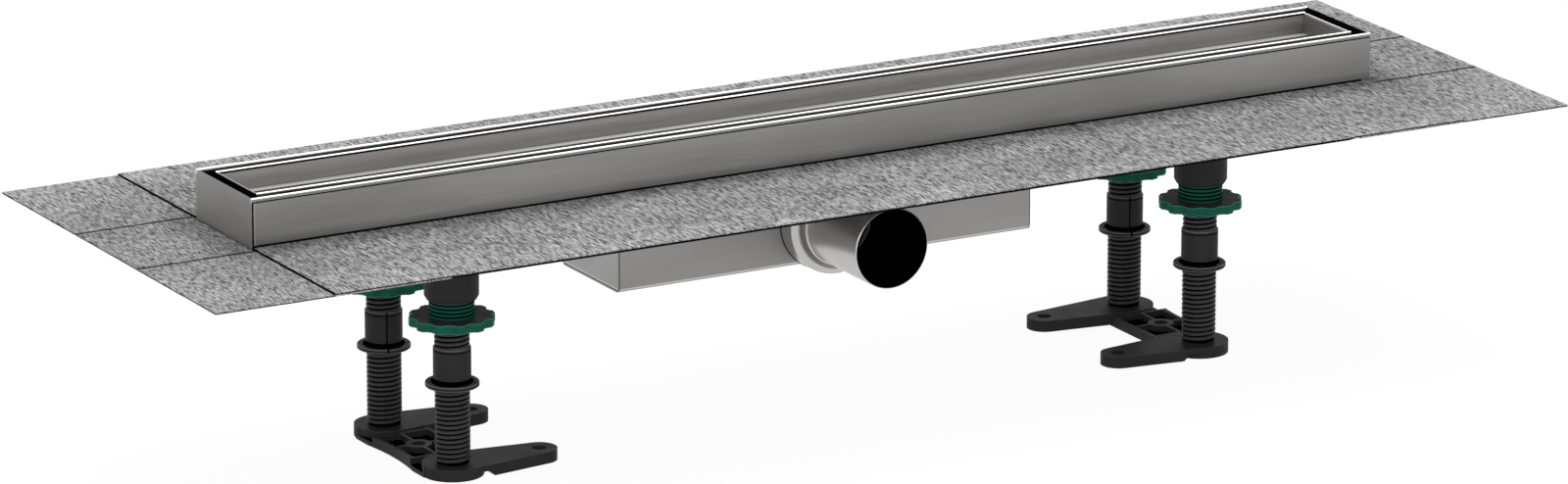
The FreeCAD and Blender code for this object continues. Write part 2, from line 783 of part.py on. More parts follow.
def web_pockets(body):
    """Sink four pockets round the middle of the web, and a side trench at each pad."""
    depth = "web_top - web_floor"
    half_rib = "(web_wall / 2)"
    end = "(web_half - web_wall)"
    quarters = new_sketch(body, "XY_Plane", "web_top")
    for low, high in ((minus("web_out - waist_depth - web_wall"), minus(half_rib)),
                      (half_rib, "(web_in - web_wall)")):
        rectangle(quarters, low, half_rib, high, end)
        rectangle(quarters, low, minus(end), high, minus(half_rib))
    pocket(body, quarters, depth)
    trench = new_sketch(body, "XY_Plane", "web_top")
    low = minus("web_out + web_wall")
    rectangle(trench, low, "web_half", "(web_in - web_wall)", f"{LEG_Y} - web_wall")
    rectangle(trench, low, minus(f"{LEG_Y} - web_wall"), "(web_in - web_wall)",
              minus("web_half"))
    pocket(body, trench, depth)


def bracket_arms(body):
    """Add the tapered arms, notched beneath, then the round pads and the screw holes."""
    pad_radius = "(pad_diameter / 2)"
    tip_radius = "(arm_tip / 2)"
    slope = f"(({pad_radius} - {tip_radius}) / arm_length)"
    across = f"sqrt(1 - {slope} * {slope})"
    arm = new_sketch(body, "XY_Plane")
    outline(arm, [
        (f"({pad_radius} * {slope})", f"({LEG_Y} - {pad_radius} * {across})"),
        (f"(arm_length + {tip_radius} * {slope})", f"({LEG_Y} - {tip_radius} * {across})"),
        (f"(arm_length + {tip_radius} * {slope})", f"({LEG_Y} + {tip_radius} * {across})"),
        (f"({pad_radius} * {slope})", f"({LEG_Y} + {pad_radius} * {across})"),
    ])
    tip = new_sketch(body, "XY_Plane")
    circle(tip, "arm_length", LEG_Y, tip_radius)
    mirrored(body, [pad(body, item, "pad_height") for item in (arm, tip)], "XZ_Plane")
    notch = new_sketch(body, "XZ_Plane", LEG_Y)
    outline(notch, [
        ("0", "0"),
        ("notch_length + notch_height", "0"),
        ("notch_length", "notch_height"),
        ("0", "notch_height"),
    ])
    mirrored(body, [pocket(body, notch, pad_radius, reverse=True)], "XZ_Plane")
    layers = [
        ("0", "pad_base", pad_radius),
        ("pad_base", "pad_base + pad_groove", f"({pad_radius} - groove_depth)"),
        ("pad_base + pad_groove", "pad_height", pad_radius),
    ]
    discs = []
    for low, high, radius in layers:
        disc = new_sketch(body, "XY_Plane", low)
        circle(disc, "0", LEG_Y, radius)
        discs.append(pad(body, disc, f"({high}) - ({low})"))
    mirrored(body, discs, "XZ_Plane")
    holes = new_sketch(body, "XY_Plane", "pad_height")
    circle(holes, "arm_length", LEG_Y, "arm_hole / 2")
    circle(holes, "arm_length", minus(LEG_Y), "arm_hole / 2")
    pocket(body, holes, "pad_height")


def fastener_group(label, places, make):
    """Join like fasteners, one at each foot, into a group of separate solids."""
    group = doc.addObject("Part::MultiFuse", label)
    group.Label = label
    items = []
    for x, y in places:
        item = make(f"{label}_piece")
        item.setExpression("Placement.Base.x", linked(x))
        item.setExpression("Placement.Base.y", linked(y))
        items.append(item)
    group.Shapes = items
    return group


def weld_stud(name):
    """Threaded stud welded under the flange, drawn as a plain cylinder."""
    stud = doc.addObject("Part::Cylinder", name)
    stud.setExpression("Radius", linked("weld_stud / 2"))
    stud.setExpression("Height", linked("weld_stud_length"))
    stud.setExpression("Placement.Base.z", linked(f"{FLANGE_UNDER} - weld_stud_length"))
    return stud


def socket_nut(name):
    """Hexagon nut that clamps a socket to its welded stud."""
    hexagon = doc.addObject("Part::Prism", f"{name}_hexagon")
    hexagon.Polygon = 6
    hexagon.setExpression("Circumradius", linked("hex_flats / 2 / cos(30)"))
    hexagon.setExpression("Height", linked("hex_height"))
    hole = doc.addObject("Part::Cylinder", f"{name}_hole")
    hole.setExpression("Radius", linked("weld_stud / 2 + hex_fit"))
    hole.setExpression("Height", linked("hex_height"))
    nut = doc.addObject("Part::Cut", name)
    nut.Base = hexagon
    nut.Tool = hole
    under = f"{FLANGE_UNDER} - socket_top - hex_height"
    nut.setExpression("Placement.Base.z", linked(under))
    return nut


def levelling_feet():
    """Two brackets with two legs each, and what bolts the legs to the flange."""
    left = minus(LEG_X)
    legs = {
        "front_left": (left, minus(LEG_Y)),
        "back_left": (left, LEG_Y),
        "front_right": (LEG_X, minus(LEG_Y)),
        "back_right": (LEG_X, LEG_Y),
    }
    for name, (x, y) in legs.items():
        leg_socket(f"leg_socket_{name}", x, y)
        levelling_nut(f"levelling_nut_{name}", x, y)
        threaded_stud(f"threaded_stud_{name}", x, y)
    base_bracket("base_bracket_left", left, 0)
    base_bracket("base_bracket_right", LEG_X, 180)
    fastener_group("flange_studs", legs.values(), weld_stud)
    fastener_group("socket_nuts", legs.values(), socket_nut)


def check_document():
    """Stop if any object of the document failed to build."""
    for item in doc.Objects:
        if "Invalid" in item.State or "Error" in item.State:
            raise RuntimeError(f"{item.Label} failed: {item.State}")


def sub_parts():
    """List the objects that are sub-parts: the bodies and the fastener groups."""
    kinds = ("PartDesign::Body", "Part::MultiFuse")
    return [item for item in doc.Objects if item.TypeId in kinds]


def export():
    """Write each sub-part's shape to its own STEP file."""
    os.makedirs("parts", exist_ok=True)
    for item in sub_parts():
        shape = item.Shape
        if shape.isNull() or not shape.isValid() or not shape.Solids:
            raise RuntimeError(f"{item.Label} has no valid solid")
    for item in sub_parts():
        item.Shape.exportStep(f"parts/{item.Label}.step")
        print(item.Label, len(item.Shape.Solids), round(item.Shape.Volume, 1))


channel()
collar_flange()
fleece_collar()
tile_tray()
sump()
outlet()
trap()
levelling_feet()
doc.recompute()
check_document()
export()
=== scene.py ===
import math

import bmesh
import bpy
from mathutils import Euler, Matrix, Vector, noise

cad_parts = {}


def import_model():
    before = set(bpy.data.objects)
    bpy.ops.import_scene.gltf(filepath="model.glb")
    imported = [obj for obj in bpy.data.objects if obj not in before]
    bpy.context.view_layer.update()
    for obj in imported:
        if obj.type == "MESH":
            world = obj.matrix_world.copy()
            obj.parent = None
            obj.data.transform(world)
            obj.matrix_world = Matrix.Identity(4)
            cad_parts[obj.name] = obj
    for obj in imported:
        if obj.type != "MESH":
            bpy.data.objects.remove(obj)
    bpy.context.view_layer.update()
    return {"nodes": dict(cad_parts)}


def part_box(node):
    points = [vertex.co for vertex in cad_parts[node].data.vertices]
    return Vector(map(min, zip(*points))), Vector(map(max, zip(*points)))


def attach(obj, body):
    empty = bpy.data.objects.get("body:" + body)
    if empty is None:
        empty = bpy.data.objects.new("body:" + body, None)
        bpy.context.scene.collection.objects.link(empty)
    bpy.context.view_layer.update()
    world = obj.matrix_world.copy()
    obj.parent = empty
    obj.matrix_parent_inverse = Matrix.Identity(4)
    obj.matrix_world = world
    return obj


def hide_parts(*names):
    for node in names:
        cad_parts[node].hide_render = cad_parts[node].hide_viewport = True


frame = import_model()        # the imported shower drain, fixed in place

# Looks of a linear shower drain: satin steel, mottled felt, black and green moulded plastic.
# Lengths are in metres. X runs along the channel, the outlet points to -Y and Z is up.

nodes = frame["nodes"]
MM = 0.001

# Camera, fitted to the photograph: angles in degrees, distances in metres
AZIMUTH = -29.2755
ELEVATION = 16.2208
ROLL = 0.079
DISTANCE = 5.98618
ASIDE = -0.0083456
BELOW = -0.058614
FOCAL_PIXELS = 9988.58
PHOTO_WIDTH = 1600
SENSOR = 36.0

# Places and sizes that several pieces share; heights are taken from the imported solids
SIDES = {"left": -1, "right": 1}
DEPTHS = ("front", "back")
channel_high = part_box("channel_body")[1]
end_x = channel_high.x
fleece_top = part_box("fleece_front")[1].z
hem_low = channel_high.z - 2.3 * MM
tray_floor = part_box("tile_tray")[1].z - 13.8 * MM
EDGE = 0.4 * MM

# Shading limits, as turns between neighbouring faces
FLAT_TURN = math.radians(0.6)
SHARP_TURN = math.radians(32)
BEVEL_TURN = math.radians(35)


# Node helpers

def new_material(name):
    """Start a material and give its tree and its Principled shader."""
    material = bpy.data.materials.new(name)
    material.use_nodes = True
    shader = material.node_tree.nodes["Principled BSDF"]
    return material, material.node_tree, shader


def grain(tree, scale, detail=2.0, distortion=0.0):
    """Noise over the piece's own coordinates, with a scale per metre for each axis."""
    place = tree.nodes.new("ShaderNodeTexCoord")
    mapping = tree.nodes.new("ShaderNodeMapping")
    mapping.inputs["Scale"].default_value = scale
    texture = tree.nodes.new("ShaderNodeTexNoise")
    texture.inputs["Scale"].default_value = 1.0
    texture.inputs["Detail"].default_value = detail
    texture.inputs["Distortion"].default_value = distortion
    tree.links.new(place.outputs["Object"], mapping.inputs["Vector"])
    tree.links.new(mapping.outputs["Vector"], texture.inputs["Vector"])
    return texture.outputs["Fac"]


def ramp(tree, source, low, high, first, last):
    """Turn a 0 to 1 value into a colour between two colours."""
    node = tree.nodes.new("ShaderNodeValToRGB")
    stops = node.color_ramp.elements
    stops[0].position = low
    stops[1].position = high
    stops[0].color = (*first, 1)
    stops[1].color = (*last, 1)
    tree.links.new(source, node.inputs["Fac"])
    return node.outputs["Color"]


def spread(tree, source, low, high, first, last):
    """Turn a 0 to 1 value into a number between two numbers."""
    node = tree.nodes.new("ShaderNodeMapRange")
    node.inputs["From Min"].default_value = low
    node.inputs["From Max"].default_value = high
    node.inputs["To Min"].default_value = first
    node.inputs["To Max"].default_value = last
    tree.links.new(source, node.inputs["Value"])
    return node.outputs["Result"]


def multiply(tree, first, second):
    """Multiply two colours."""
    node = tree.nodes.new("ShaderNodeMix")
    node.data_type = "RGBA"
    node.blend_type = "MULTIPLY"
    node.inputs["Factor"].default_value = 1.0
    tree.links.new(first, node.inputs["A"])
    tree.links.new(second, node.inputs["B"])
    return node.outputs["Result"]


def paint_shade_below(tree, colour, low, high, dim):
    """Paint shade into a colour: darker towards a low height."""
    place = tree.nodes.new("ShaderNodeTexCoord")
    split = tree.nodes.new("ShaderNodeSeparateXYZ")
    tree.links.new(place.outputs["Object"], split.inputs["Vector"])
    share = spread(tree, split.outputs["Z"], low, high, 0.0, 1.0)
    return multiply(tree, colour, ramp(tree, share, 0.0, 1.0, grey(dim), grey(1.0)))


def bump(tree, shader, height, strength, distance):
    """Give the shader a bump from a height."""
    node = tree.nodes.new("ShaderNodeBump")
    node.inputs["Strength"].default_value = strength
    node.inputs["Distance"].default_value = distance
    tree.links.new(height, node.inputs["Height"])
    tree.links.new(node.outputs["Normal"], shader.inputs["Normal"])


def grey(value):
    """A neutral colour."""
    return (value, value, value)


def shade(colour, factor):
    """A colour made lighter or darker."""
    return tuple(part * factor for part in colour)


# Materials

ROLLED_ALONG = (30, 1400, 1400)
ROLLED_ACROSS = (1400, 30, 1400)


def steel(name, colour, roughness, scale=ROLLED_ALONG, clouds=0.12, shade_below=None, metallic=1.0):
    """Satin sheet with a fine rolled grain and soft cloudy variation, and painted shade below if
    asked.
    """
    material, tree, shader = new_material(name)
    lines = grain(tree, scale, detail=3.0)
    blots = grain(tree, (7, 18, 24), detail=1.5)
    fine = ramp(tree, lines, 0.3, 0.7, shade(colour, 0.95), shade(colour, 1.05))
    broad = ramp(tree, blots, 0.34, 0.66, grey(1.0 - clouds), grey(1.0))
    look = multiply(tree, fine, broad)
    if shade_below:
        look = paint_shade_below(tree, look, *shade_below)
    tree.links.new(look, shader.inputs["Base Color"])
    tree.links.new(spread(tree, lines, 0.3, 0.7, roughness - 0.04, roughness + 0.04),
                   shader.inputs["Roughness"])
    shader.inputs["Metallic"].default_value = metallic
    bump(tree, shader, lines, 0.12, 0.03 * MM)
    return material


def moulded(name, colour, roughness, specular):
    """Moulded plastic with a slight orange-peel skin and uneven gloss."""
    material, tree, shader = new_material(name)
    skin = grain(tree, (900, 900, 900), detail=2.0)
    flow = grain(tree, (60, 60, 25), detail=2.0)
    tree.links.new(ramp(tree, flow, 0.3, 0.7, shade(colour, 0.88), shade(colour, 1.12)),
                   shader.inputs["Base Color"])
    tree.links.new(spread(tree, flow, 0.3, 0.7, roughness - 0.05, roughness + 0.05),
                   shader.inputs["Roughness"])
    shader.inputs["Specular IOR Level"].default_value = specular
    bump(tree, shader, skin, 0.08, 0.05 * MM)
    return material


# Painted shade on the felt: how bright it is at shares of FELT_REACH from the channel
FELT_REACH = 100 * MM
FELT_SHADE_TONES = ((0.0, 0.56), (0.12, 0.57), (0.2, 0.66), (0.28, 0.79), (0.38, 0.83), (0.6, 0.81),
              (0.8, 0.88), (1.0, 1.0))


def away_from_channel(tree):
    """How far a point of the felt lies outside the channel, from 0 to 1 at FELT_REACH."""
    place = tree.nodes.new("ShaderNodeTexCoord")
    previous = place.outputs["Object"]
    corner = (channel_high.x, channel_high.y, 1)
    for operation, value in (("ABSOLUTE", None), ("SUBTRACT", corner), ("MAXIMUM", (0, 0, 0)),
                             ("LENGTH", None)):
        node = tree.nodes.new("ShaderNodeVectorMath")
        node.operation = operation
        if value:
            node.inputs[1].default_value = value
        tree.links.new(previous, node.inputs[0])
        previous = node.outputs["Value" if operation == "LENGTH" else "Vector"]
    return spread(tree, previous, 0.0, FELT_REACH, 0.0, 1.0)


def felt(name, dark, light):
    """Needled felt: short fibres lying across the channel, with painted shade close to the
    channel.
    """
    material, tree, shader = new_material(name)
    fibres = grain(tree, (1200, 160, 1200), detail=3.0, distortion=0.5)
    tufts = grain(tree, (320, 70, 320), detail=2.0)
    clouds = grain(tree, (14, 26, 10), detail=1.5)
    streaks = ramp(tree, fibres, 0.36, 0.64, grey(dark), grey(light))
    patches = ramp(tree, tufts, 0.3, 0.7, grey(0.88), grey(1.0))
    blots = ramp(tree, clouds, 0.36, 0.64, grey(0.86), grey(1.0))
    first, *between, last = FELT_SHADE_TONES
    channel_shade = ramp(tree, away_from_channel(tree), first[0], last[0], grey(first[1]),
                   grey(last[1]))
    for share, value in between:
        channel_shade.node.color_ramp.elements.new(share).color = (*grey(value), 1)
    look = multiply(tree, multiply(tree, streaks, patches), blots)
    tree.links.new(multiply(tree, look, channel_shade), shader.inputs["Base Color"])
    shader.inputs["Roughness"].default_value = 0.95
    shader.inputs["Specular IOR Level"].default_value = 0.05
    bump(tree, shader, fibres, 0.6, 0.3 * MM)
    return material


def dull(name, colour, roughness=0.85):
    """Dark matt finish for weld scale, and for painted shade on cut edges and inside gaps and
    hollows.
    """
    material, tree, shader = new_material(name)
    mottle = grain(tree, (700, 700, 700), detail=3.0)
    tree.links.new(ramp(tree, mottle, 0.3, 0.7, shade(colour, 0.7), shade(colour, 1.3)),
                   shader.inputs["Base Color"])
    shader.inputs["Roughness"].default_value = roughness
    shader.inputs["Specular IOR Level"].default_value = 0.0
    bump(tree, shader, mottle, 0.3, 0.08 * MM)
    return material


# The channel's walls, with painted shade darker towards their foot
channel_steel = steel("channel_steel", (0.43, 0.425, 0.418), 0.46, clouds=0.2,
                      shade_below=(fleece_top + 1.5 * MM, fleece_top + 6 * MM, 0.72))
# Painted highlight on the hem crowns and on the channel's cut ends above the hems
hem_highlight_steel = steel("hem_highlight_steel", (0.93, 0.93, 0.925), 0.3, clouds=0.04)
# Painted shade on the outer sides of the hems
hem_side_shade = steel("hem_side_shade_steel", (0.34, 0.337, 0.333), 0.4, clouds=0.08)
# Painted shade on the inner sides of the hems, darker down towards the slot
hem_inside_shade = steel("hem_inside_shade_steel", (0.5, 0.497, 0.494), 0.4, clouds=0.08,
                   shade_below=(hem_low + 0.1 * MM, hem_low + 1.6 * MM, 0.15))
# Painted highlight on the channel's cut ends, beside its left corners and on the bend at the sump
# ends' feet
painted_highlight_steel = steel("painted_highlight_steel", (0.5, 0.495, 0.49), 0.4, clouds=0.04)
# Painted shade on the tops of the end plates
shaded_top_steel = steel("shaded_top_steel", (0.14, 0.138, 0.135), 0.5)
upright_steel = steel("end_plate_steel", (0.4, 0.392, 0.381), 0.46, scale=ROLLED_ACROSS)
sump_steel = steel("sump_steel", (0.31, 0.302, 0.294), 0.46, clouds=0.16)
# Painted highlight on the bend along the sump's foot and on the outlet's sloped faces
bend_highlight_steel = steel("bend_highlight_steel", (0.56, 0.55, 0.54), 0.4, clouds=0.04)
sump_end_steel = steel("sump_end_steel", (0.37, 0.369, 0.367), 0.46, scale=ROLLED_ACROSS)
# The tray's walls: a lighter copy of its sheet standing in for light, with painted shade towards
# the floor
tray_wall_steel = steel("tray_wall_steel", (0.61, 0.583, 0.56), 0.46, clouds=0.08,
                        shade_below=(tray_floor, tray_floor + 9.5 * MM, 0.45))
tray_end_steel = steel("tray_end_steel", (0.28, 0.272, 0.262), 0.46, clouds=0.08)
# Painted shade on parts of the tray's hems: the front inner half, the left rim and the outer
# sides
tray_rim_shade_steel = steel("tray_rim_shade_steel", (0.26, 0.258, 0.255), 0.4, clouds=0.04)
# Painted shade on the bends between the tray's floor and walls
tray_bend_shade_steel = steel("tray_bend_shade_steel", (0.15, 0.144, 0.138), 0.46, clouds=0.08)
tray_floor_steel = steel("tray_floor_steel", (0.3, 0.296, 0.29), 0.45, clouds=0.1)
# Painted highlight on the floor strips beside the tray's walls
tray_highlight_steel = steel("tray_highlight_steel", (0.9, 0.895, 0.89), 0.45, clouds=0.05, metallic=0.4)
# Painted shade on the band of floor inside those strips
tray_shade_steel = steel("tray_shade_steel", (0.06, 0.058, 0.056), 0.46, clouds=0.08)
strip_steel = steel("strip_steel", (0.3, 0.294, 0.286), 0.4)
round_steel = steel("drawn_steel", (0.56, 0.552, 0.54), 0.34, scale=(220, 900, 220))
zinc = steel("zinc_steel", (0.5, 0.5, 0.48), 0.35, scale=(800, 800, 800))
fleece_felt = felt("grey_felt", 0.08, 0.7)
# Painted shadow in strips on the felt and painted shade on its cut edges
felt_shade = dull("felt_edge_shade", grey(0.006), 0.95)
# Weld scale on the weld bead and corner seams; also painted shade under the hems, along the
# channel's foot, on the right channel end plate's top and at the sump ends' feet
weld_scale_and_shade = dull("weld_scale_and_shade", (0.005, 0.0046, 0.004))
shaded_steel = dull("shaded_steel", (0.004, 0.004, 0.0038))
# Painted shade inside the outlet and on the spigot's mouth
shaded_bore = dull("shaded_bore", grey(0.0005), 0.95)
black_plastic = moulded("black_plastic", grey(0.034), 0.5, 0.06)
# Painted highlight on the bevelled edges of the black parts
black_edge_highlight = moulded("black_plastic_edge_highlight", grey(0.24), 0.4, 0.2)
# Painted highlight on the thread crests
thread_highlight_plastic = moulded("thread_highlight_plastic", grey(0.06), 0.45, 0.1)
# Painted shade in the black parts' pockets, grooves, gaps and thread roots
black_shade = dull("black_plastic_shade", grey(0.0015))
green_plastic = moulded("green_plastic", (0.0115, 0.118, 0.077), 0.45, 0.06)
# Painted highlight on the bevelled edges of the nuts
green_edge_highlight = moulded("green_plastic_edge_highlight", (0.06, 0.33, 0.23), 0.4, 0.2)
# Painted shade in the nuts' rib valleys and bore
green_shade = dull("green_plastic_shade", (0.001, 0.012, 0.008))
# Painted sheen on the nuts' flat tops
nut_face_sheen = moulded("nut_face_sheen", (0.05, 0.056, 0.052), 0.5, 0.06)
trap_plastic = moulded("trap_plastic", (0.02, 0.02, 0.021), 0.5, 0.3)
seal_rubber = dull("seal_rubber", grey(0.02), 0.7)


# Mesh helpers

def link_piece(name, mesh, materials, body):
    """Put a mesh in the scene as a piece with its materials, riding on a body."""
    for material in materials:
        mesh.materials.append(material)
    piece = bpy.data.objects.new(name, mesh)
    bpy.context.scene.collection.objects.link(piece)
    modifier = piece.modifiers.new("flat_faces", "WEIGHTED_NORMAL")
    modifier.keep_sharp = True
    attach(piece, body)
    return piece


def new_piece(name, vertices, faces, materials, body, marks=None):
    """Make a smooth piece from its points and faces, with its faces pointing outwards."""
    mesh = bpy.data.meshes.new(name)
    mesh.from_pydata(vertices, [], faces)
    mesh.update()
    if marks:
        mesh.polygons.foreach_set("material_index", marks)
    work = bmesh.new()
    work.from_mesh(mesh)
    bmesh.ops.recalc_face_normals(work, faces=work.faces)
    sharpen(work)
    work.to_mesh(mesh)
    work.free()
    return link_piece(name, mesh, materials, body)


def sharpen(work):
    """Shade a mesh smooth, apart from the edges that turn by more than SHARP_TURN."""
    for face in work.faces:
        face.smooth = True
    for edge in work.edges:
        edge.smooth = len(edge.link_faces) == 2 and edge.calc_face_angle(0.0) < SHARP_TURN


def clean_copy(node, cuts=()):
    """Copy a CAD node's mesh into a bmesh of whole faces, cut along planes where asked."""
    work = bmesh.new()
    work.from_mesh(nodes[node].data)
    bmesh.ops.remove_doubles(work, verts=work.verts, dist=0.002 * MM)
    bmesh.ops.dissolve_limit(work, angle_limit=FLAT_TURN, verts=work.verts,
                             edges=work.edges)
    for point, normal in cuts:
        everything = work.verts[:] + work.edges[:] + work.faces[:]
        bmesh.ops.bisect_plane(work, geom=everything, plane_co=point, plane_no=normal,
                               dist=0.001 * MM)
    return work


def dress(node, work, materials, body, choose=None):
    """Make the piece that stands for a CAD node, with a material chosen for each face."""
    if choose:
        for face in work.faces:
            face.material_index = choose(face)
    sharpen(work)
    mesh = bpy.data.meshes.new(f"{node}_looks")
    work.to_mesh(mesh)
    work.free()
    piece = link_piece(f"{node}_looks", mesh, materials, body)
    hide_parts(node)


def soften(work, width):
    """Round the sharp edges of a mesh by a small bevel, with the second material, a painted
    highlight, on it.
    """
    edges = [edge for edge in work.edges
             if len(edge.link_faces) == 2 and edge.calc_face_angle(0.0) > BEVEL_TURN]
    made = bmesh.ops.bevel(work, geom=edges, offset=width, offset_type="OFFSET", segments=2,
                           profile=0.5, affect="EDGES", clamp_overlap=True)
    for face in made["faces"]:
        face.material_index = 1


def join_rows(row, other, count):
    """Faces between two rows of points that each close on themselves."""
    faces = []
    for step in range(count):
        ahead = (step + 1) % count
        faces.append((row * count + step, row * count + ahead, other * count + ahead,
                      other * count + step))
    return faces


def rings(rows, count):
    """Faces between each of the rows and the next."""
    return [face for row in range(rows - 1) for face in join_rows(row, row + 1, count)]


def smooth_step(value):
    """Rise gently from 0 to 1."""
    value = min(max(value, 0.0), 1.0)
    return value * value * (3 - 2 * value)


# Plain finishes for the CAD nodes that stay as they are

def finish_nodes(names, material):
    """Give CAD nodes a better material."""
    for name in names:
        slots = nodes[name].data.materials
        slots.clear()
        slots.append(material)


RESTS = [f"tray_rest_{side}_{place}" for side in SIDES for place in ("outer", "inner")]
finish_nodes(RESTS + ["collar_flange", "hair_strainer"], strip_steel)
finish_nodes(["flange_studs", "socket_nuts"], zinc)
finish_nodes(["trap_dip_tube", "trap_cup"], trap_plastic)
finish_nodes(["trap_seal"], seal_rubber)


# Steel sheet work

SHEET = 1.2 * MM
# Heights of the painted shadow under the hems and along the channel's foot, widths of the left
# corners' weld line and of the painted highlight beside it, and how far the foot's painted shadow
# stops short of the right end
SHADOW = 0.9 * MM
FOOT_LINE = 0.9 * MM
CORNER_LINE = 1.2 * MM
FOOT_GAP = 6 * MM


def cut_levels(*heights):
    """Level cutting planes."""
    return [((0, 0, height), (0, 0, 1)) for height in heights]


def cut_across(*places):
    """Upright cutting planes across the channel."""
    return [((place, 0, 0), (1, 0, 0)) for place in places]


def cut_beside(*places):
    """Upright cutting planes along the channel, at both sides of its middle."""
    return [((0, sign * place, 0), (0, 1, 0)) for place in places for sign in (-1, 1)]


def channel_shell():
    """The trough: painted highlights on its hems, painted shade round them, inside and along its
    foot, dark weld lines at its left corners.
    """
    high = channel_high
    crease = hem_low - SHADOW
    shine = high.z - 0.7 * MM
    shoulder = high.y - 1.0 * MM
    hem_middle = high.y - 1.3 * MM
    foot = fleece_top + FOOT_LINE
    wall = high.y - 0.4 * MM
    corner = high.x - CORNER_LINE
    beside_corner = corner - CORNER_LINE
    foot_end = high.x - FOOT_GAP
    materials = [channel_steel, hem_highlight_steel, hem_side_shade, hem_inside_shade, painted_highlight_steel, weld_scale_and_shade,
                 shaded_steel]
    plain, hem, side_face, inner_face, edge, dark, inside = range(len(materials))

    # Hems: painted shade underneath, painted highlight on the crowns apart from their front inner
    # half, painted shade on the sides
    def choose_hem(centre, normal):
        if normal.z < -0.5:
            return dark
        if centre.z > shine:
            return plain if -shoulder < centre.y < 0 else hem
        return inner_face if abs(centre.y) < hem_middle else side_face

    def choose(face):
        centre = face.calc_center_median()
        outwards = face.normal.y * centre.y > 0
        # Cut ends: painted highlight
        if abs(face.normal.x) > 0.9:
            return hem if centre.z > hem_low else edge
        if centre.z > hem_low - 0.01 * MM:
            return choose_hem(centre, face.normal)
        # Inside the trough: painted shade, apart from its underside
        if abs(centre.y) < wall - 0.1 * MM or not outwards:
            return plain if face.normal.z < -0.5 else inside
        # Outer walls: painted shadow under the hems and along the foot, a dark weld line at the
        # left corners, a painted highlight beside it
        at_foot = centre.z < foot and centre.x < foot_end
        if centre.z > crease or at_foot or centre.x < -corner:
            return dark
        return edge if centre.x < -beside_corner else plain

    cuts = (cut_levels(crease, shine, foot) + cut_across(foot_end, -corner, -beside_corner)
            + cut_beside(shoulder))
    dress("channel_body", clean_copy("channel_body", cuts), materials, "channel",
          choose)


def tray_shell():
    """The tile tray: painted highlights on its hems and on floor strips beside its browner walls,
    painted shade outside.
    """
    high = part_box("tile_tray")[1]
    shine = high.z - 0.6 * MM
    hem_foot = high.z - 1.8 * MM
    crown = high.y - 0.9 * MM
    rim = high.x - 2 * SHEET
    strip = high.y - 7.7 * MM
    middle = high.y - 13 * MM
    materials = [tray_wall_steel, hem_highlight_steel, tray_floor_steel, weld_scale_and_shade, shaded_steel,
                 tray_rim_shade_steel, tray_bend_shade_steel, tray_highlight_steel, tray_shade_steel,
                 tray_end_steel]
    (wall, bright, bottom, dark, outside, grey_rim, bent, light, dim,
     end_wall) = range(len(materials))

    def choose(face):
        centre = face.calc_center_median()
        normal = face.normal
        aside = abs(centre.y)
        inwards = normal.x * centre.x + normal.y * centre.y < 0
        at_end = abs(centre.x) > rim
        # Hems: painted highlight on the crowns and the right rim; painted shade on the front
        # inner half, the left rim, the sides and the outer end faces
        if centre.z > hem_foot:
            if at_end and abs(normal.x) > 0.5:
                return wall if inwards else outside
            if centre.z > shine or at_end:
                shaded = centre.x < 0 if at_end else -crown < centre.y < 0
                return grey_rim if shaded else bright
            return dark if aside < high.y - 1.2 * MM else grey_rim
        # Floor: painted highlight beside the walls, then a band of painted shade
        if normal.z > 0.9:
            return light if aside > strip else dim if aside > middle else bottom
        # Outside and undersides: painted shade
        if normal.z < -0.3 or not inwards:
            return outside
        # Bends between floor and walls: painted shade
        if normal.z > 0.2:
            return bent
        # Walls: the long ones a lighter copy of the sheet, with painted shade towards the floor
        return end_wall if at_end and abs(normal.x) > 0.5 else wall

    cuts = cut_levels(shine, hem_foot) + cut_beside(crown, strip, middle)
    dress("tile_tray", clean_copy("tile_tray", cuts), materials, "channel",
          choose)


def end_plate(node, material, line=0.0, bend=0.0):
    """An end plate with painted shade inside and on its top, and a painted shade line and a
    painted highlight on the bend at its foot if asked.
    """
    line_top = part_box(node)[0].z + line
    bend_top = line_top + bend
    materials = [material, shaded_top_steel, shaded_steel, weld_scale_and_shade, painted_highlight_steel]
    plain, grey_top, inside, dark, light = range(len(materials))
    # Painted shade on the top: near black on the right channel end plate, darker grey on the
    # others
    top = dark if node == "channel_end_right" else grey_top

    def choose(face):
        centre = face.calc_center_median()
        if face.normal.z > 0.5:
            return top
        if face.normal.x * centre.x < -0.5 * abs(centre.x):
            return inside
        if centre.z < line_top:
            return dark
        return light if centre.z < bend_top else plain

    cuts = cut_levels(line_top, bend_top) if line else []
    dress(node, clean_copy(node, cuts), materials, "channel", choose)


def sump_shell():
    """The sump box, with a painted highlight on the bend along its foot and dark lines at its
    corners.
    """
    low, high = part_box("sump_body")
    line = low.z + 1.3 * MM
    bend = low.z + 2.5 * MM
    corner = high.x - 0.6 * MM
    materials = [sump_steel, bend_highlight_steel, weld_scale_and_shade]
    plain, light, dark = range(len(materials))

    def choose(face):
        centre = face.calc_center_median()
        if face.normal.y * centre.y <= 0 or abs(face.normal.y) < 0.1:
            return plain
        if abs(centre.x) > corner:
            return dark
        # Painted highlight on the bend along the foot
        return light if line < centre.z < bend else plain

    cuts = cut_levels(line, bend) + cut_across(corner, -corner)
    dress("sump_body", clean_copy("sump_body", cuts), materials, "channel",
          choose)


